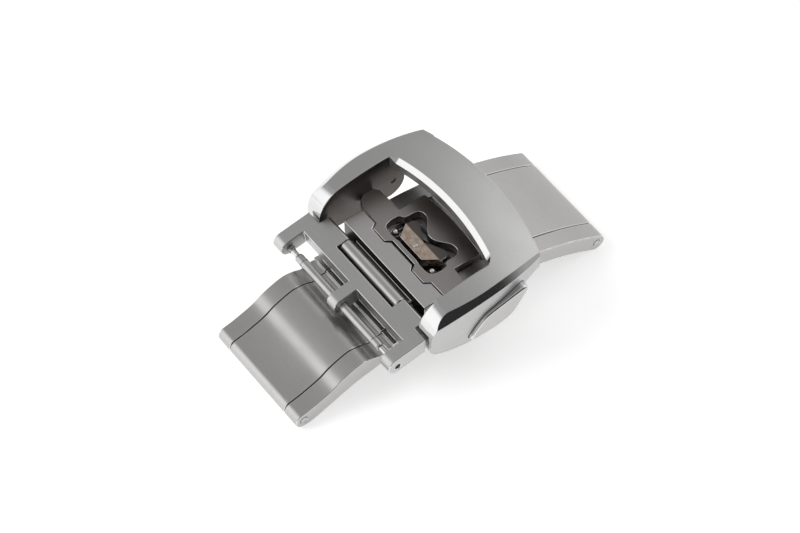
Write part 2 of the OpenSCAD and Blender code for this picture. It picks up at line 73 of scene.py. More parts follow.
# %% [markdown]
# The camera comes first, so that every later choice can be judged through it.
# A product photographer shoots something this small from about half a metre with a long lens,
# which keeps the two ends of the clasp almost the same size. The camera could be turned by
# hand in the viewport; here it looks along a line between two measured points.

# %% Camera
FILM_WIDTH = 36.0
FOCAL_LENGTH = 174.98
CAMERA_AT = Vector((-167.96, -224.05, 382.35)) * MM
LOOK_AT = Vector((-12.02, -13.58, 29.62)) * MM

camera_data = bpy.data.cameras.new("camera")
camera_data.sensor_width = FILM_WIDTH
camera_data.lens = FOCAL_LENGTH
camera = bpy.data.objects.new("camera", camera_data)
camera.location = CAMERA_AT
camera.rotation_euler = (LOOK_AT - CAMERA_AT).to_track_quat("-Z", "Y").to_euler()
scene_objects.link(camera)
bpy.context.scene.camera = camera
print("the camera is", round((LOOK_AT - CAMERA_AT).length / MM), "mm from what it looks at")

# %% [markdown]
# Steel has almost no colour of its own, so its look is all in the roughness.
# A brushed face is a field of fine parallel scratches: stretched noise that bends the surface
# a little across the lines and hardly at all along them. A polished face is smooth, with only
# a faint waviness. A blasted face is covered in tiny craters.
# A scratch texture could be painted too, but it would need every piece unwrapped. Noise in the
# object's own coordinates needs no unwrapping and has no seams.

# %% Helpers for the finishes
# How strong each finer layer of noise is, beside the one before
OCTAVE_FADE = 0.55
# Nearly all noise values lie between these two
NOISE_LOW, NOISE_HIGH = 0.3, 0.7
CLOUDS = (140, 140, 140)


def new_material(name):
    """A material with an empty tree, and its shader joined to the output."""
    material = bpy.data.materials.new(name)
    material.use_nodes = True
    tree = material.node_tree
    tree.nodes.clear()
    shader = tree.nodes.new("ShaderNodeBsdfPrincipled")
    output = tree.nodes.new("ShaderNodeOutputMaterial")
    tree.links.new(shader.outputs["BSDF"], output.inputs["Surface"])
    return material, tree, shader


def noise(tree, stretch, detail):
    """Noise in the object's own coordinates; stretch gives the waves per metre along each axis."""
    where = tree.nodes.new("ShaderNodeTexCoord")
    mapping = tree.nodes.new("ShaderNodeMapping")
    mapping.inputs["Scale"].default_value = stretch
    wave = tree.nodes.new("ShaderNodeTexNoise")
    wave.inputs["Scale"].default_value = 1.0
    wave.inputs["Detail"].default_value = detail
    wave.inputs["Roughness"].default_value = OCTAVE_FADE
    tree.links.new(where.outputs["Object"], mapping.inputs["Vector"])
    tree.links.new(mapping.outputs["Vector"], wave.inputs["Vector"])
    return wave.outputs["Fac"]


def spread(tree, value, low, high):
    """Turns a noise value from NOISE_LOW to NOISE_HIGH into a value from low to high."""
    ramp = tree.nodes.new("ShaderNodeMapRange")
    ramp.inputs["From Min"].default_value = NOISE_LOW
    ramp.inputs["From Max"].default_value = NOISE_HIGH
    ramp.inputs["To Min"].default_value = low
    ramp.inputs["To Max"].default_value = high
    tree.links.new(value, ramp.inputs["Value"])
    return ramp.outputs["Result"]


def tinted(tree, value, dark, light):
    """A colour between dark and light."""
    mix = tree.nodes.new("ShaderNodeMix")
    mix.data_type = "RGBA"
    mix.inputs["A"].default_value = (*dark, 1)
    mix.inputs["B"].default_value = (*light, 1)
    tree.links.new(value, mix.inputs["Factor"])
    return mix.outputs["Result"]


def bumped(tree, value, depth, shader):
    """Presses a height, in metres, into the shader's normal."""
    bump = tree.nodes.new("ShaderNodeBump")
    bump.inputs["Strength"].default_value = 1.0
    bump.inputs["Distance"].default_value = depth
    tree.links.new(value, bump.inputs["Height"])
    tree.links.new(bump.outputs["Normal"], shader.inputs["Normal"])


def steel(name, stretch, depth, dark, light, smooth, rough):
    """A steel finish. Fine noise sets the height and the colour, from dark to light, and slow
    clouds set the roughness, from smooth to rough."""
    material, tree, shader = new_material(name)
    shader.inputs["Metallic"].default_value = 1.0
    grain = noise(tree, stretch, detail=3.0)
    tree.links.new(tinted(tree, grain, dark, light), shader.inputs["Base Color"])
    cloud = noise(tree, CLOUDS, detail=2.0)
    tree.links.new(spread(tree, cloud, smooth, rough), shader.inputs["Roughness"])
    if depth:
        bumped(tree, grain, depth, shader)
    return material


# %% [markdown]
# On the real clasp each piece comes from its own machine. The blades and the frame are brushed
# across, the links, the cover and the buttons along, the plate is blasted, and edges, balls and
# pins are polished or turned. The plate's grey is also darkened as painted shade from the cover
# above it. The catch's copper colour is a painted reflection, so its noise is coarse and strongly
# coloured. One list of finishes keeps these greys in step with each other.

# %% The finishes
# Waves per metre along X, Y and Z, and depths of the surface in metres
ALONG_X = (600, 14000, 14000)
ALONG_Y = (14000, 600, 14000)
FINE = (9000, 9000, 9000)
EVEN = (400, 400, 400)
REFLECTION_PATCHES = (1300, 1300, 1300)
SCRATCH, CRATER, TOOL_MARK, POLISHED = 2e-6, 3e-6, 1e-6, 0
finish = {
    "blade": steel("satin_blade", ALONG_Y, SCRATCH,
                   (0.46, 0.45, 0.44), (0.58, 0.57, 0.56), 0.3, 0.38),
    "link": steel("satin_link", ALONG_X, SCRATCH,
                  (0.46, 0.45, 0.445), (0.56, 0.55, 0.545), 0.3, 0.38),
    "cover": steel("brushed_cover", ALONG_X, SCRATCH,
                   (0.47, 0.47, 0.465), (0.57, 0.57, 0.565), 0.32, 0.42),
    "frame": steel("satin_frame", ALONG_Y, SCRATCH,
                   (0.5, 0.495, 0.49), (0.6, 0.595, 0.59), 0.32, 0.42),
    "button": steel("brushed_button", ALONG_X, SCRATCH,
                    (0.48, 0.475, 0.47), (0.58, 0.575, 0.57), 0.28, 0.36),
    # Blasted grey, darkened further as painted shade from the cover above the plate
    "plate": steel("blasted_plate_shaded_dark", FINE, CRATER,
                   (0.29, 0.27, 0.26), (0.39, 0.365, 0.35), 0.36, 0.46),
    # The catch's copper colour is a painted reflection: coarse noise from dark to bright copper
    "catch": steel("catch_painted_copper_reflection", REFLECTION_PATCHES, POLISHED,
                   (0.22, 0.15, 0.12), (0.85, 0.7, 0.58), 0.14, 0.24),
    "slider": steel("stamped_slider", FINE, SCRATCH,
                    (0.16, 0.155, 0.15), (0.24, 0.235, 0.23), 0.3, 0.45),
    "ball": steel("polished_ball", EVEN, POLISHED,
                  (0.72, 0.72, 0.72), (0.8, 0.8, 0.8), 0.05, 0.1),
    "pin": steel("turned_pin", FINE, TOOL_MARK,
                 (0.5, 0.5, 0.5), (0.6, 0.6, 0.6), 0.18, 0.28),
    "bar": steel("polished_bar", (900, 900, 900), POLISHED,
                 (0.42, 0.42, 0.415), (0.56, 0.56, 0.555), 0.24, 0.32),
    "tip": steel("polished_tip", EVEN, POLISHED,
                 (0.58, 0.58, 0.58), (0.66, 0.66, 0.66), 0.14, 0.22),
    "spring": steel("spring_wire", (2000, 2000, 2000), POLISHED,
                    (0.4, 0.4, 0.4), (0.5, 0.5, 0.5), 0.25, 0.35),
    "polish": steel("polished_edge", (300, 300, 300), POLISHED,
                    (0.62, 0.62, 0.62), (0.7, 0.7, 0.7), 0.08, 0.14),
    # Painted shade: a near-black steel put on faces in seams, gaps, bores and undersides where
    # shade falls
    "recess": steel("machined_recess", FINE, TOOL_MARK,
                    (0.1, 0.09, 0.082), (0.16, 0.147, 0.135), 0.28, 0.38),
}
slots = {s["node"]: s["material_slot"] for s in frame["record"]["subparts"]}
print("finishes made:", len(finish))

# %% [markdown]
# Every new shape below is a surface on a grid of two parameters: the rows run along the piece
# and the columns run round its section. Such shapes could be pushed and pulled by hand, but a
# formula keeps each edge where it was measured, and one number moves it. Each surface is a
# whole numpy array, and one function turns such arrays into a mesh.

# %% From arrays to meshes
# Corners closer than this, in metres, are one
MERGE_WITHIN = 1e-7
MANY_CORNERS = 13


def skin(points, ends=True):
    """Faces between neighbours in a grid of rows x columns x 3. The last column joins the first,
    each face takes four points, and ends closes the first and the last row."""
    rows, cols = points.shape[:2]
    index = np.arange(rows * cols).reshape(rows, cols)
    beside = np.roll(index, -1, axis=1)
    quads = np.stack([index[:-1], beside[:-1], beside[1:], index[1:]], axis=-1)
    faces = quads.reshape(-1, 4).tolist()
    if ends:
        faces += [index[0].tolist(), index[-1].tolist()]
    return points.reshape(-1, 3), faces


def smooth_by_angle(mesh, sharp):
    """Smooth shading, with a crease at every edge sharper than sharp degrees. A face of many
    corners is a plane, so it is shaded flat."""
    corners = np.zeros(len(mesh.polygons), np.int32)
    mesh.polygons.foreach_get("loop_total", corners)
    mesh.set_sharp_from_angle(angle=math.radians(sharp))
    mesh.polygons.foreach_set("use_smooth", corners < MANY_CORNERS)


def to_mesh(name, skins, shine=None, sharp=32):
    """One mesh from several skins in millimetres: doubles merged, faces out, smooth but for edges
    sharper than sharp degrees. shine gives each face its finish from its middle and normal."""
    mesh = bpy.data.meshes.new(name)
    points, faces, offset = [], [], 0
    for p, f in skins:
        points.append(p)
        faces += [[i + offset for i in face] for face in f]
        offset += len(p)
    mesh.from_pydata((np.concatenate(points) * MM).tolist(), [], faces)
    work = bmesh.new()
    work.from_mesh(mesh)
    bmesh.ops.remove_doubles(work, verts=work.verts, dist=MERGE_WITHIN)
    bmesh.ops.dissolve_degenerate(work, dist=MERGE_WITHIN, edges=work.edges)
    bmesh.ops.recalc_face_normals(work, faces=work.faces)
    work.to_mesh(mesh)
    work.free()
    smooth_by_angle(mesh, sharp)
    if shine:
        count = len(mesh.polygons)
        middle, normal = np.zeros(count * 3), np.zeros(count * 3)
        mesh.polygons.foreach_get("center", middle)
        mesh.polygons.foreach_get("normal", normal)
        kind = shine(middle.reshape(-1, 3) / MM, normal.reshape(-1, 3))
        mesh.polygons.foreach_set("material_index", kind.astype(np.int32))
    return mesh


# %% [markdown]
# A finished piece stands in for its model node. It takes over the node's material slot and
# rides on the node's body, so it moves with the joint that the real piece moves with.

# %% A finished piece in its node's place
def place(node, mesh, finishes):
    """Puts a finished mesh in the scene in the place of its model node."""
    for f in finishes:
        mesh.materials.append(finish[f])
    piece = bpy.data.objects.new(node + "_finished", mesh)
    scene_objects.link(piece)
    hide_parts(node)
    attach(piece, nodes[node]["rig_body"])
    return piece


def axis_of(node):
    """Where a model node's own axis along Y stands, as (X, Z)."""
    low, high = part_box(node)
    return (low.x + high.x) / 2 / MM, (low.z + high.z) / 2 / MM


FRONT_AT, BACK_AT = axis_of("bar_tube"), axis_of("rear_bar_tube")
print("spring bars at", [round(v, 2) for v in FRONT_AT], "and", [round(v, 2) for v in BACK_AT])

# %% [markdown]
# The cover is one crowned top over two ears. Seen from above, each ear's outer face is an arc
# and so are the window's edge and the cover's right edge. The crown is an arc across the strap
# whose height also falls, as a parabola, along the clasp.
# A maker mills this from a block, and a modeller could do the same with boolean cuts. Sections
# are better here, because the cover's look is its light, and each edge, chamfer and rounding
# then has clean rows of faces of its own.

# %% The cover's driving sizes, in millimetres
HALF_STRAP = 10.0
COVER_TOP, CROWN_R, COVER_T = 14.3, 72.5, 1.8
PEAK_X, FALL = 3.35, 0.0154
EAR_R, EAR_OUT, EAR_MID_X, EAR_LOW = 32.0, 13.35, 0.6, 5.8
TIP_X, TIP_RUN, TIP_FALL, TIP_CORNER_R, TIP_LIFT = -6.65, 3.0, 2.8, 1.0, 0.4
WINDOW_R, WINDOW_X = 39.4, 5.15
RIGHT_R, RIGHT_X = 39.0, 11.85
CHAMFER_REACH, CHAMFER_X, CHAMFER_LEFT, CHAMFER_RIGHT = 25.8, 2.0, 0.036, 0.0237
BEVEL_RUN, BEVEL_FALL, BEVEL_FADE = 0.55, 0.65, 0.9
print("the cover is", 2 * EAR_OUT, "mm wide and its window", 2 * HALF_STRAP, "mm")


# %% The cover's curves
def crown(x, y, deep=0.0):
    """Height of the crown: an arc of radius CROWN_R - deep - FALL (x - PEAK_X)^2 across the
    strap."""
    r = CROWN_R - deep - FALL * (x - PEAK_X) ** 2
    return COVER_TOP - CROWN_R + np.sqrt(r * r - y * y)


def tip_drop(x):
    """How far the top bends down towards an ear's tip: a quarter of an ellipse."""
    u = np.clip((TIP_X + TIP_RUN - x) / TIP_RUN, 0, 1)
    return TIP_FALL * (1 - np.sqrt(1 - u * u))


def outer_y(x):
    """Distance of an ear's outer face from the middle: the ear's arc, or the right edge's."""
    ear_arc = EAR_OUT - EAR_R + np.sqrt(EAR_R**2 - (x - EAR_MID_X) ** 2)
    right_arc = np.sqrt(np.maximum(RIGHT_R**2 - (x - RIGHT_X + RIGHT_R) ** 2, 0))
    return np.minimum(ear_arc, right_arc)


def chamfer_at(x):
    """The chamfer slants by 45 degrees, so |y| + z is the same all across it. This is that sum:
    two parabolas that fall away from CHAMFER_X."""
    rate = np.where(x < CHAMFER_X, CHAMFER_LEFT, CHAMFER_RIGHT)
    return CHAMFER_REACH - rate * (x - CHAMFER_X) ** 2


print("the chamfer's outer edge at the peak is", round(float(chamfer_at(PEAK_X)) - EAR_OUT, 2),
      "mm up")

# %% An ear's lower outline
FLOOR_RUN, FLOOR_BEND = 3.6, 0.6
BACK_X, BACK_R = 6.1, 2.35
EAR_RISE = [
    (6.45, 9.3), (6.8, 9.68), (7.1, 9.91), (7.6, 10.08), (8.1, 10.19), (8.9, 10.31),
    (9.45, 10.37), (9.86, 10.39), (10.1, 10.4), (10.3, 10.41), (10.45, 10.42), (10.54, 10.42),
]


def ear_floor():
    """An ear's lower outline as (X, Z): the tip's round corner, a parabola down to the flat, the
    flat, the round back and the rise to the right edge."""
    a = np.radians(np.linspace(180, 270, 9))
    corner_z = EAR_LOW + (TIP_LIFT + TIP_CORNER_R) + TIP_CORNER_R * np.sin(a)
    corner = np.stack([TIP_X + TIP_CORNER_R + TIP_CORNER_R * np.cos(a), corner_z], axis=1)
    start_x = np.linspace(-5.4, -2.4, 13)
    start_z = EAR_LOW + TIP_LIFT * (start_x / FLOOR_RUN + FLOOR_BEND) ** 2
    start = np.stack([start_x, start_z], axis=1)
    flat = np.stack([np.linspace(-2.15, 3.7, 14), np.full(14, EAR_LOW)], axis=1)
    b = np.radians(np.linspace(-90, 0, 15))
    back_x = BACK_X - BACK_R + BACK_R * np.cos(b)
    back = np.stack([back_x, EAR_LOW + BACK_R + BACK_R * np.sin(b)], axis=1)
    return np.concatenate([corner, start, flat, back, np.array(EAR_RISE)])


print("an ear has", len(ear_floor()), "sections")

# %% An ear
MEET_STEPS, LEAST_TOP = 30, 0.2
INNER_ROUND, BRIDGE_FROM = 0.12, 3.3
OUTER_ROUND, ROUND_SHARE = 0.15, 0.4


def ear(side):
    """One ear as sections across Y, in order round: inner wall, inner edge, top, chamfer, outer
    wall and lower edge. The chamfer meets the top where |y| = chamfer_at(x) - top(|y|), which
    is found by putting each answer back in."""
    x, low = ear_floor().T[:, :, None]
    out = outer_y(x)

    def top(y):
        return crown(x, y) - tip_drop(x)

    meet = out.copy()
    for _ in range(MEET_STEPS):
        meet = np.clip(chamfer_at(x) - top(meet), HALF_STRAP + LEAST_TOP, out)
    edge = np.minimum(chamfer_at(x) - out, top(out))
    small = np.where(x < BRIDGE_FROM, INNER_ROUND, 0.0)
    q = np.radians(np.linspace(0, 90, 5))[None]
    inner_top = top(HALF_STRAP + small)
    wall_y = np.full((1, 5), HALF_STRAP) + 0 * x
    wall_z = low + (inner_top - small - low) * np.linspace(0, 1, 5)[None]
    turn_y = HALF_STRAP + small * (1 - np.cos(q))
    turn_z = inner_top - small * (1 - np.sin(q))
    t = np.linspace(0, 1, 16)[None, 1:]
    top_y = HALF_STRAP + small + (meet - HALF_STRAP - small) * t
    c = np.linspace(0, 1, 6)[None, 1:]
    cut_y = meet + (out - meet) * c
    cut_z = top(meet) + (edge - top(meet)) * c
    soft = np.minimum(OUTER_ROUND, ROUND_SHARE * (out - HALF_STRAP))
    down = np.linspace(0, 1, 8)[None, 1:]
    side_z = edge + (low + soft - edge) * down
    side_y = out + 0 * side_z
    low_y = out - soft * (1 - np.cos(q))
    low_z = low + soft * (1 - np.sin(q))
    y = np.concatenate([wall_y, turn_y, top_y, cut_y, side_y, low_y], axis=1)
    z = np.concatenate([wall_z, turn_z, top(top_y), cut_z, side_z, low_z], axis=1)
    return skin(np.stack([x + 0 * y, side * y, z], axis=-1))


print("an ear's skin has", len(ear(1)[1]), "faces")

# %% The bridge
RIGHT_ROUND, LEAST_BEVEL = 0.3, 0.15


def bridge():
    """The bridge as sections along X for each Y: window wall, polished bevel, top, right edge and
    underside. The bevel narrows over the last BEVEL_FADE before each ear."""
    y = np.linspace(-HALF_STRAP, HALF_STRAP, 81)[:, None]
    x0 = WINDOW_X - WINDOW_R + np.sqrt(WINDOW_R**2 - y * y)
    x1 = RIGHT_X - RIGHT_R + np.sqrt(RIGHT_R**2 - y * y)
    taper = np.clip((HALF_STRAP - np.abs(y)) / BEVEL_FADE, LEAST_BEVEL, 1)
    run, fall = BEVEL_RUN * taper, BEVEL_FALL * taper
    wall = np.linspace(0, 1, 4)[None]
    x_wall = x0 + 0 * wall
    foot = crown(x0, y, COVER_T)
    z_wall = foot + (crown(x0 + run, y) - fall - foot) * wall
    t = np.linspace(0, 1, 25)[None]
    x_top = x0 + run + (x1 - RIGHT_ROUND - x0 - run) * t
    q = np.radians(np.linspace(0, 90, 6))[None, 1:]
    x_edge = x1 - RIGHT_ROUND * (1 - np.sin(q))
    z_edge = crown(x1 - RIGHT_ROUND, y) - RIGHT_ROUND * (1 - np.cos(q))
    x_low = x1 + (x0 - x1) * np.linspace(0, 1, 12)[None, :-1]
    x = np.concatenate([x_wall, x_top, x_edge, x_low], axis=1)
    z = np.concatenate([z_wall, crown(x_top, y), z_edge, crown(x_low, y, COVER_T)], axis=1)
    return skin(np.stack([x, y + 0 * x, z], axis=-1))


print("the bridge's skin has", len(bridge()[1]), "faces")

# %% [markdown]
# The cover's top is brushed, its chamfers, tips and window bevel are polished, and its inner walls
# and underside take the painted shade, a dark steel put where shade falls. The borders between
# these finishes could be painted by hand.
# Here a test of each face's middle and normal finds them, so they follow the shape.

# %% The cover's finishes
COVER_FINISHES = ("cover", "polish", "recess")
BRUSHED, SHINY, PAINTED_DARK = range(3)
BRUSH_STOP = TIP_X + TIP_RUN - 0.5
STOP_BOW, EAR_MIDDLE_Y = 0.12, 11


def cover_shine(middle, normal):
    """Finish of each face of the cover: brushed, shiny, or the painted shade on the inner walls
    and underside, where shade falls. The brushing stops before the tip in a parabola across the
    ear."""
    x, y, z = middle.T
    across, up = np.abs(normal[:, 1]), normal[:, 2]
    out = outer_y(x)
    on_ear = np.abs(y) > HALF_STRAP + 0.01
    slanted = (across > 0.5) & (up > 0.3)
    chamfer = on_ear & slanted & (z > chamfer_at(x) - out - 0.05)
    stop = BRUSH_STOP + STOP_BOW * (np.abs(y) - EAR_MIDDLE_Y) ** 2
    tip_top = on_ear & (x < stop) & (np.abs(y) < out - 0.02) & (z > EAR_LOW + 1.6)
    bevel = ~on_ear & (normal[:, 0] < -0.4) & (up > 0.4)
    inner_wall = (np.abs(np.abs(y) - HALF_STRAP) < 0.15) & (across > 0.9)
    below = up < -0.7
    return np.select([inner_wall | below, chamfer | tip_top | bevel], [PAINTED_DARK, SHINY], BRUSHED)


# %% [markdown]
# Each button slides in a pocket in its ear. The pocket, the slot for the latch slider and the
# bore of the return spring are milled and drilled straight in from the side, so here they are
# plain prisms that a Boolean modifier takes out of the ear. The pocket's outline is read from
# the model's own button, so button and pocket can't drift apart.


# %% Outlines and prisms
def loop_of(node, level):
    """The model's outline of a piece where Y is level, as (X, Z) in order round its middle."""
    co = np.array([v.co for v in nodes[node].data.vertices]) / MM
    on = np.unique(np.round(co[np.abs(co[:, 1] - level) < 0.01][:, [0, 2]], 4), axis=0)
    d = on - on.mean(axis=0)
    return on[np.argsort(np.arctan2(d[:, 1], d[:, 0]))]


def moved_out(loop, d):
    """A closed outline moved outwards by d, along the normal at each point."""
    v = np.roll(loop, -1, axis=0) - np.roll(loop, 1, axis=0)
    n = np.stack([v[:, 1], -v[:, 0]], axis=1)
    return loop + d * n / np.linalg.norm(n, axis=1)[:, None]


def nearest_on(loop, points):
    """For each point the nearest one on a closed outline: on the segment from a to b it is
    a + t (b - a), where t is the point's projection kept from 0 to 1."""
    a, b = loop, np.roll(loop, -1, axis=0)
    run = b - a
    t = np.clip(((points[:, None] - a) * run).sum(axis=-1) / (run * run).sum(axis=-1), 0, 1)
    near = a + t[..., None] * run
    best = np.argmin(np.linalg.norm(near - points[:, None], axis=-1), axis=1)
    return near[np.arange(len(points)), best]


def prism(loop, y0, y1):
    """An outline in X and Z carried straight from y0 to y1."""
    y = np.array([y0, y1], float)[:, None] + np.zeros(len(loop))[None]
    x, z = np.tile(loop[:, 0], (2, 1)), np.tile(loop[:, 1], (2, 1))
    return skin(np.stack([x, y, z], axis=-1))


def box_loop(x0, x1, z0, z1):
    """A rectangle in X and Z."""
    return np.array([(x0, z0), (x1, z0), (x1, z1), (x0, z1)], float)


def circle(at, r, count=32):
    """A circle in X and Z."""
    a = np.linspace(0, 2 * np.pi, count, endpoint=False)
    return np.stack([at[0] + r * np.cos(a), at[1] + r * np.sin(a)], axis=1)


# %% A button's place in its ear
BUTTON_FACE, BUTTON_BACK = EAR_OUT + 0.5, EAR_OUT - 1.5
BUTTON_RIM, BUTTON_GAP = 0.3, 0.1
SLOT = box_loop(0.85, 1.95, 7.11, 8.01)
TAB_ROOM = box_loop(0.85, 1.95, 7.11, 8.77)
GUIDE_AT, BORE_FOR_GUIDE, BORE_FOR_SPRING = (4.4, EAR_LOW + 2.7), 0.4, 0.7

button_loop = loop_of("near_button", -BUTTON_FACE + BUTTON_RIM)
face_loop = nearest_on(loop_of("near_button", -BUTTON_FACE), button_loop)
print("a button's outline has", len(button_loop), "points")

# %% Pockets in the ears
# Distances from the clasp's middle at which the cuts start and end
PAST_OUTER, PAST_INNER = 16, 9.5
POCKET_FLOOR, TAB_FLOOR, SLOT_START = BUTTON_BACK - 0.5, BUTTON_BACK - 0.9, 12.5
BORE_START, SPRING_SEAT = 12, 10.9


def cut(mesh, cutters, kind):
    """Subtracts closed skins from a mesh; the new walls take the finish of number kind."""
    for f in COVER_FINISHES:
        mesh.materials.append(finish[f])
    body = bpy.data.objects.new("body", mesh)
    scene_objects.link(body)
    helpers = [body]
    for c in cutters:
        tool_mesh = to_mesh("tool", [c])
        for f in COVER_FINISHES:
            tool_mesh.materials.append(finish[f])
        kinds = np.full(len(tool_mesh.polygons), kind, np.int32)
        tool_mesh.polygons.foreach_set("material_index", kinds)
        tool = bpy.data.objects.new("tool", tool_mesh)
        scene_objects.link(tool)
        step = body.modifiers.new("cut", "BOOLEAN")
        step.operation, step.solver, step.object = "DIFFERENCE", "EXACT", tool
        helpers.append(tool)
    bpy.context.view_layer.update()
    finished_body = body.evaluated_get(bpy.context.evaluated_depsgraph_get())
    result = bpy.data.meshes.new_from_object(finished_body)
    for o in helpers:
        bpy.data.objects.remove(o)
    kinds = np.zeros(len(result.polygons), np.int32)
    result.polygons.foreach_get("material_index", kinds)
    print("faces of each finish on an ear:", np.bincount(kinds, minlength=3))
    result.materials.clear()
    result.polygons.foreach_set("material_index", kinds)
    return result


def pocketed(side):
    """One ear with its pocket, slot and bores."""
    mesh = to_mesh("ear", [ear(side)], cover_shine)
    cutters = [
        prism(moved_out(button_loop, BUTTON_GAP), side * PAST_OUTER, side * POCKET_FLOOR),
        prism(SLOT, side * SLOT_START, side * PAST_INNER),
        prism(TAB_ROOM, side * SLOT_START, side * TAB_FLOOR),
        prism(circle(GUIDE_AT, BORE_FOR_SPRING), side * BORE_START, side * SPRING_SEAT),
        prism(circle(GUIDE_AT, BORE_FOR_GUIDE), side * BORE_START, side * PAST_INNER),
    ]
    # The walls of the pocket, the slot and the bores take the painted shade, dark where shade
    # falls inside them
    return cut(mesh, cutters, PAINTED_DARK)


# %% [markdown]
# Under the bridge two lugs hold the second strap's spring bar. Ears, bridge and lugs are one
# piece of steel on the real clasp, so their skins go into one mesh. They could be united with
# another Boolean, but they only meet face to face, and side by side they keep their clean rows.

# %% The cover
REAR_LUG_R, REAR_LUG_T, LUG_ROOT_Z = 1.25, 1.4, 11.9


def joined(meshes, sharp=25):
    """Several meshes as one, each face keeping its finish."""
    work = bmesh.new()
    for m in meshes:
        work.from_mesh(m)
    mesh = bpy.data.meshes.new("joined")
    work.to_mesh(mesh)
    work.free()
    smooth_by_angle(mesh, sharp)
    return mesh


lug_arc = circle(BACK_AT, REAR_LUG_R, 48)
lug_root = [(BACK_AT[0] + REAR_LUG_R, LUG_ROOT_Z), (BACK_AT[0] - REAR_LUG_R, LUG_ROOT_Z)]
lug_loop = np.concatenate([lug_arc[24:], lug_root])
lugs = [prism(lug_loop, s * HALF_STRAP, s * (HALF_STRAP + REAR_LUG_T)) for s in (-1, 1)]
bridge_mesh = to_mesh("bridge", [bridge()], cover_shine)
cover_mesh = joined([pocketed(-1), pocketed(1), bridge_mesh, to_mesh("lugs", lugs)])
place("cover", cover_mesh, COVER_FINISHES)
print("cover faces:", len(cover_mesh.polygons))

# %% [markdown]
# A button is a small block whose face is brushed and whose rim is rounded and polished.
# A Bevel modifier would trip over the outline's sharp corners, where its rows cross. So the
# rim is built from rings, each a step from the outline to the smaller outline of the face. A
# thin guide pin at the back runs in the ear's bore, inside the return spring.

# %% The buttons
GUIDE_PIN_R, GUIDE_ROOT, GUIDE_END = 0.35, 12.5, 10.1


def turned_bar(at, profile, segments=40, ends=True):
    """A bar turned about a line along Y through at (X and Z): each profile point is (Y, radius),
    and the point at angle a lies at (X + r cos a, Y, Z + r sin a)."""
    y, r = np.array(profile, float).T[:, :, None]
    a = np.linspace(0, 2 * np.pi, segments, endpoint=False)[None]
    x, z = at[0] + r * np.cos(a), at[1] + r * np.sin(a)
    return skin(np.stack([x, y + 0 * a, z], axis=-1), ends)


def button(side):
    """A button as rings of its outline: back, edge, the rounded rim and the flat face. On the rim
    each point goes in by 1 - cos q of its way to the face's outline while it goes out by sin q."""
    q = np.radians(np.concatenate([[0], np.linspace(0, 90, 7)]))[:, None, None]
    flat = button_loop + (face_loop - button_loop) * (1 - np.cos(q))
    out = BUTTON_FACE - BUTTON_RIM + BUTTON_RIM * np.sin(q[:, :, 0]) + np.zeros(len(button_loop))
    out[0] = BUTTON_BACK
    return skin(np.stack([flat[:, :, 0], side * out, flat[:, :, 1]], axis=-1))


def button_shine(middle, normal):
    """The face is brushed, the rim and the sides are polished, and the guide, inside the ear,
    takes the painted shade.
    """
    face_or_rim = np.where(np.abs(normal[:, 1]) > 0.99, BRUSHED, SHINY)
    return np.where(np.abs(middle[:, 1]) < BUTTON_BACK - 0.02, PAINTED_DARK, face_or_rim)


for side, node in ((-1, "near_button"), (1, "far_button")):
    guide_line = [(side * GUIDE_ROOT, GUIDE_PIN_R), (side * GUIDE_END, GUIDE_PIN_R)]
    guide = turned_bar(GUIDE_AT, guide_line)
    mesh = to_mesh(node, [button(side), guide], button_shine, sharp=50)
    place(node, mesh, ("button", "polish", "recess"))
    print(node, "faces:", len(mesh.polygons))

# %% [markdown]
# A spring bar is a thin tube, rolled in at both ends over two collared pins that a spring
# pushes apart. The pins' necks show between the tube and the lugs. All of it is turned on a
# lathe, so each piece is a profile carried round an axis. Blender's Spin tool does the same,
# but a profile written as numbers can be checked against the model.

# %% The spring bars' tubes
BAR_R, TIP_R, BORE_R = 0.6, 0.35, 0.43
TUBE_END, CRIMP, TUBE_SIDES = 8.35, 0.35, 48
MOUTH_R = TIP_R + 0.04
# Distance from the tube's end and depth below its wall: the crimp groove and the rolled end
TUBE_PROFILE = [(1.6, 0), (1.38, 0), (1.33, 0.06), (1.22, 0.06), (1.17, 0), (0.25, 0),
                (0.1, 0.04), (0, 0.13)]


def tube(at):
    """The tube's outer wall with its two crimp grooves, its rolled ends and its bore."""
    half = [(TUBE_END - back, BAR_R - deep) for back, deep in TUBE_PROFILE]
    half += [(TUBE_END, MOUTH_R), (TUBE_END - CRIMP, MOUTH_R), (TUBE_END - CRIMP, BORE_R)]
    outside = [(-y, r) for y, r in half[::-1]] + half
    return turned_bar(at, outside + [outside[0]], TUBE_SIDES, ends=False)


for node, at in (("bar_tube", FRONT_AT), ("rear_bar_tube", BACK_AT)):
    place(node, to_mesh(node, [tube(at)]), ("bar",))
print("tubes are", 2 * TUBE_END, "mm long")

# %% The spring bars' tips
COLLAR_R, HEAD_R = 0.54, BORE_R - 0.02
# Distance from the clasp's middle and radius: head in the tube, neck, collar, pin and point
TIP_PROFILE = [
    (7.35, 0.2), (7.4, HEAD_R), (7.95, HEAD_R), (7.96, TIP_R), (9.55, TIP_R),
    (9.56, COLLAR_R - 0.04), (9.6, COLLAR_R), (9.86, COLLAR_R), (9.9, COLLAR_R - 0.04),
    (9.91, TIP_R), (10.9, TIP_R), (11.05, 0.28), (11.1, 0.15),
]

for node, at, side in (("near_bar_tip", FRONT_AT, -1), ("far_bar_tip", FRONT_AT, 1),
                       ("near_rear_tip", BACK_AT, -1), ("far_rear_tip", BACK_AT, 1)):
    pin = turned_bar(at, [(side * y, r) for y, r in TIP_PROFILE])
    place(node, to_mesh(node, [pin]), ("tip",))
print("tips reach", round(TIP_PROFILE[-1][0] - HALF_STRAP, 2), "mm into their lugs")

# %% [markdown]
# A spring is a wire wound on a rod. A Screw modifier could wind it too, but the helix as a
# formula ends exactly where it should. A bar's spring is drawn as short as both tips press it,
# so that they never cut it; at rest that small gap is hidden inside the tube.

# %% The springs
WIRE_R, COIL_STEPS, WIRE_SIDES = 0.08, 24, 8
TIP_TRAVEL = 1.2


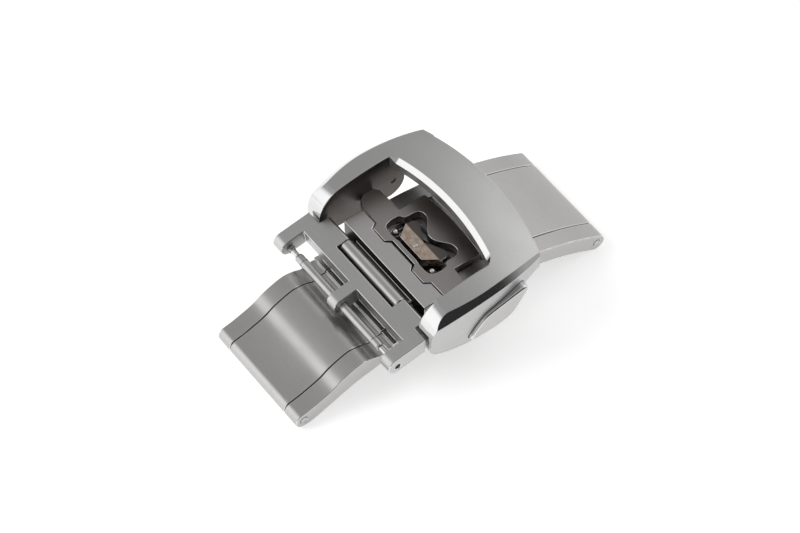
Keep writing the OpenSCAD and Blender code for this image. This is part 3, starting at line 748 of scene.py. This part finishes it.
def coil(at, y0, y1, radius, turns):
    """A wire wound about a line along Y: its middle follows a helix, and its section is a circle
    across the helix."""
    t = np.linspace(0, 1, int(turns * COIL_STEPS))[:, None]
    a = 2 * np.pi * turns * t
    out = np.concatenate([np.cos(a), 0 * a, np.sin(a)], axis=1)
    x, z = at[0] + radius * np.cos(a), at[1] + radius * np.sin(a)
    middle = np.concatenate([x, y0 + (y1 - y0) * t, z], axis=1)
    b = np.linspace(0, 2 * np.pi, WIRE_SIDES, endpoint=False)
    ring = middle[:, None] + WIRE_R * np.cos(b)[None, :, None] * out[:, None]
    ring[:, :, 1] += WIRE_R * np.sin(b)[None]
    return skin(ring)


def wound(node, radius, turns, travel=0.0):
    """A coil spring in the place of a model node, shorter at each end by travel."""
    low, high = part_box(node)
    short = WIRE_R + travel
    shape = coil(axis_of(node), low.y / MM + short, high.y / MM - short, radius, turns)
    place(node, to_mesh(node, [shape]), ("spring",))
    print(node, "is wound in", turns, "turns")


wound("bar_spring", 0.3, 42, TIP_TRAVEL)
wound("rear_bar_spring", 0.3, 42, TIP_TRAVEL)
wound("near_return_spring", 0.55, 6)
wound("far_return_spring", 0.55, 6)

# %% [markdown]
# The latch balls are bearing balls, polished all over, and the catch's rivet has a low round
# head. A UV sphere from the menu would do for a ball, but the same kind of grid serves all of
# these, with each size read from its model node.


# %% The balls
def ball(node):
    """A ball: the point at turn a and height angle b lies at r (cos a cos b, sin a cos b,
    sin b)."""
    low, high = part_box(node)
    middle, r = np.array((low + high) / 2) / MM, (high.z - low.z) / 2 / MM
    a = np.linspace(0, 2 * np.pi, 32, endpoint=False)[None]
    b = np.linspace(-np.pi / 2, np.pi / 2, 17)[:, None]
    unit = np.stack([np.cos(a) * np.cos(b), np.sin(a) * np.cos(b), np.sin(b) + 0 * a], axis=-1)
    place(node, to_mesh(node, [skin(middle + r * unit, ends=False)]), ("ball",))
    print(node, "radius", round(r, 2), "mm")


ball("near_slider_ball")
ball("far_slider_ball")


# %% The catch's rivet
def rivet_head(node, rim=0.15, rise=0.12):
    """A rivet turned about its upright axis: at height z its radius is r up to the rim, and the
    head closes over it as a quarter of an ellipse, rim wide and rise high."""
    low, high = np.array(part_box(node)) / MM
    r, top = (high[0] - low[0]) / 2, high[2]
    q = np.radians(np.linspace(0, 90, 6))
    radius = np.concatenate([[r, r], r - rim * (1 - np.cos(q))])[:, None]
    height = np.concatenate([[low[2], top - 2 * rise], top - rise + rise * np.sin(q)])[:, None]
    a = np.linspace(0, 2 * np.pi, 40, endpoint=False)[None]
    x, y = (low + high)[:2] / 2
    grid = np.stack([x + radius * np.cos(a), y + radius * np.sin(a), height + 0 * a], axis=-1)
    place(node, to_mesh(node, [skin(grid)]), ("tip",))
    print(node, "radius", round(r, 2), "mm")


rivet_head("catch_rivet")

# %% [markdown]
# A machined piece never has knife edges: the tumbler takes a tenth of a millimetre off them,
# and that narrow rounding catches the light all around the piece.
# The model's meshes are loose triangles, so a copy is merged, its flat faces are made whole
# again, and a Bevel modifier rounds every edge that is sharper than thirty degrees.
# A second modifier keeps the flat faces flat in the shading.

# %% Soften the edges of a piece
# Lengths in metres, and angles in degrees
MODEL_MERGE, SLIVER, SLIVER_ROUNDS = 2e-6, 2e-6, 12
FLAT_WITHIN, EDGE_ANGLE, BEVEL_STEPS, FLAT_WEIGHT = 0.8, 30, 3, 100


def join_slivers(work):
    """Joins each triangle that is thinner than SLIVER, in metres, to the face over its long
    edge. The edges stay in the faces' order, because in a set their order, and with it the
    result, would change from run to run."""
    for _ in range(SLIVER_ROUNDS):
        edges = []
        for f in work.faces:
            longest = max(f.edges, key=lambda e: e.calc_length())
            if 2 * f.calc_area() < SLIVER * longest.calc_length() and longest not in edges:
                edges.append(longest)
        if not edges:
            return
        bmesh.ops.dissolve_edges(work, edges=edges, use_verts=False)


def whole_faces(node):
    """A copy of a model piece's mesh with its doubles merged and its flat faces made whole."""
    mesh = nodes[node].data.copy()
    mesh.name = node
    work = bmesh.new()
    work.from_mesh(mesh)
    bmesh.ops.remove_doubles(work, verts=work.verts, dist=MODEL_MERGE)
    join_slivers(work)
    bmesh.ops.dissolve_limit(work, angle_limit=math.radians(FLAT_WITHIN),
                             verts=work.verts, edges=work.edges)
    work.to_mesh(mesh)
    work.free()
    mesh.materials.clear()
    smooth_by_angle(mesh, EDGE_ANGLE)
    return mesh


def soften(node, width, shade_where=None, rim=SHINY):
    """Gives a model piece edges rounded by width, in millimetres. Where the given test of the
    faces' middles holds, the faces take the painted shade, a dark steel put where shade falls.
    The rounded edges take the finish of number rim."""
    mesh = whole_faces(node)
    middle = np.zeros(len(mesh.polygons) * 3)
    mesh.polygons.foreach_get("center", middle)
    kind = np.zeros(len(mesh.polygons), np.int32)
    if shade_where:
        kind[shade_where(*middle.reshape(-1, 3).T / MM)] = PAINTED_DARK
    mesh.polygons.foreach_set("material_index", kind)
    piece = place(node, mesh, (slots[node], "polish", "recess"))
    if width:
        bevel = piece.modifiers.new("edges", "BEVEL")
        bevel.width = width * MM
        bevel.segments = BEVEL_STEPS
        bevel.limit_method = "ANGLE"
        bevel.angle_limit = math.radians(EDGE_ANGLE)
        bevel.use_clamp_overlap = False
        bevel.material = rim
    weigh = piece.modifiers.new("flats", "WEIGHTED_NORMAL")
    weigh.keep_sharp = True
    weigh.weight = FLAT_WEIGHT


# %% [markdown]
# The catch's painted copper reflection covers only its front bar, and the rest of it takes the
# painted shade. The walls in the seams and beside the hinge knuckle, where no light falls, get
# painted shade too, and so does the rim round the end of each pin. Such shade could be painted
# as an ambient occlusion map; plain tests of where a face lies give the same dark lines and stay
# sharp at any distance.

# %% The pieces to soften
# How wide each piece's edges are rounded, in millimetres
EDGE = {
    "base_blade": 0.1, "left_link": 0.1, "right_link": 0.1, "strap_frame": 0.1,
    "mechanism_plate": 0.06, "catch": 0.05, "near_slider": 0.03, "far_slider": 0.03,
    "plate_rivets": 0.0, "left_hinge_pin": 0.05, "right_hinge_pin": 0.05,
    "frame_hinge_pin": 0.05,
}
BLADE_SIDE, STRIP_SIDE = 5.6, 5.68
KNUCKLE_WALL_X, ARM_WALL_X, WALLS_END_X, WALLS_TOP_Z = -5.05, -6.9, -3.9, 9.0
# Along X, where the catch's painted copper reflection ends and its painted shade begins
REFLECTION_END_X = 1.3


def in_seam(y, side):
    """True where a face lies in the plane |y| = side."""
    return np.abs(np.abs(y) - side) < 0.02


def beside_knuckle(x, y, z):
    """True on the left link's walls that face the knuckle and the frame's arms."""
    start = np.where(np.abs(y) > BLADE_SIDE, ARM_WALL_X, KNUCKLE_WALL_X)
    return (x > start) & (x < WALLS_END_X) & (np.abs(y) < HALF_STRAP) & (z < WALLS_TOP_Z)


# Where each piece takes the painted shade: its seams, the walls beside the knuckle, and the catch
# behind its front bar
SHADED_FACES = {
    "base_blade": lambda x, y, z: in_seam(y, BLADE_SIDE),
    "right_link": lambda x, y, z: in_seam(y, STRIP_SIDE),
    "catch": lambda x, y, z: x > REFLECTION_END_X,
    "left_link": lambda x, y, z: in_seam(y, STRIP_SIDE) | beside_knuckle(x, y, z),
}
# A pin's rounded rim takes the painted shade as a dark ring; the other pieces' rims are polished
for node, width in EDGE.items():
    soften(node, width, SHADED_FACES.get(node), PAINTED_DARK if node.endswith("_pin") else SHINY)
print("pieces softened:", len(EDGE))

# %% [markdown]
# The set is a white table. Steel shows what stands around it, so the studio has a grey ceiling
# for the flat tops, bright sides that the curved ends pick up, and a dark gap in front that
# draws the black lines in the polished chamfers. Real cards and lamps round the clasp would
# give the same picture, but patches of brightness in the world render with less noise.


# %% The table
def table_top(half, height, glow):
    """A flat square, half a side long each way from the middle."""
    mesh = bpy.data.meshes.new("table")
    corners = [(sx * half, sy * half, height) for sx, sy in ((-1, -1), (1, -1), (1, 1), (-1, 1))]
    mesh.from_pydata(corners, [], [(0, 1, 2, 3)])
    floor = bpy.data.objects.new("table", mesh)
    scene_objects.link(floor)
    material, _, shader = new_material("white_table")
    shader.inputs["Base Color"].default_value = (0.85, 0.85, 0.85, 1)
    shader.inputs["Roughness"].default_value = 0.7
    shader.inputs["Emission Color"].default_value = (1, 1, 1, 1)
    shader.inputs["Emission Strength"].default_value = glow
    mesh.materials.append(material)


TABLE_HALF, TABLE_HEIGHT, TABLE_GLOW = 1.5, -0.00002, 0.5
table_top(TABLE_HALF, TABLE_HEIGHT, TABLE_GLOW)
print("the table is", 2 * TABLE_HALF, "m wide")


# %% The lamp
def softbox(name, at, aim, size, power):
    """A square area light at a place, turned towards a point. It lights the table and casts the
    shadow; what the steel reflects is the studio's own brightness."""
    data = bpy.data.lights.new(name, "AREA")
    data.size = size
    data.energy = power
    light = bpy.data.objects.new(name, data)
    light.location = at
    light.rotation_euler = (Vector(aim) - Vector(at)).to_track_quat("-Z", "Y").to_euler()
    light.visible_glossy = False
    scene_objects.link(light)


# Metres and watts
KEY_AT, KEY_SIZE, KEY_POWER = (-0.33, 0.22, 0.33), 0.3, 0.95
softbox("key", KEY_AT, (0, 0, 0), KEY_SIZE, KEY_POWER)
print("the key light is", round(Vector(KEY_AT).length, 2), "m away")


# %% The studio
def studio(ceiling, lobes):
    """The world's brightness by direction: the ceiling's, plus a soft-edged patch for each lobe
    of (direction, inner and outer angle in degrees, brightness added)."""
    world = bpy.data.worlds.new("studio")
    bpy.context.scene.world = world
    world.use_nodes = True
    tree = world.node_tree
    where = tree.nodes.new("ShaderNodeTexCoord")
    total = None
    for direction, inner, outer, added in lobes:
        dot = tree.nodes.new("ShaderNodeVectorMath")
        dot.operation = "DOT_PRODUCT"
        dot.inputs[1].default_value = Vector(direction).normalized()
        tree.links.new(where.outputs["Generated"], dot.inputs[0])
        patch = tree.nodes.new("ShaderNodeMapRange")
        patch.interpolation_type = "SMOOTHSTEP"
        patch.inputs["From Min"].default_value = math.cos(math.radians(outer))
        patch.inputs["From Max"].default_value = math.cos(math.radians(inner))
        patch.inputs["To Min"].default_value = 0
        patch.inputs["To Max"].default_value = added
        tree.links.new(dot.outputs["Value"], patch.inputs["Value"])
        add = tree.nodes.new("ShaderNodeMath")
        add.operation = "ADD"
        add.inputs[1].default_value = ceiling
        tree.links.new(patch.outputs["Result"], add.inputs[0])
        if total:
            tree.links.new(total, add.inputs[1])
        total = add.outputs["Value"]
    tree.links.new(total, tree.nodes["Background"].inputs["Strength"])
    tree.nodes["Background"].inputs["Color"].default_value = (1, 1, 1, 1)


CEILING = 0.47
LOBES = [
    ((0.8, 0.0, 0.6), 12, 42, 0.8),
    ((-0.85, 0.45, 0.4), 18, 33, 0.95),
    ((0.02, -0.9, 0.42), 24, 42, -0.435),
]
studio(CEILING, LOBES)
bpy.context.scene.view_settings.view_transform = "Standard"
print("lobes in the studio:", len(LOBES))
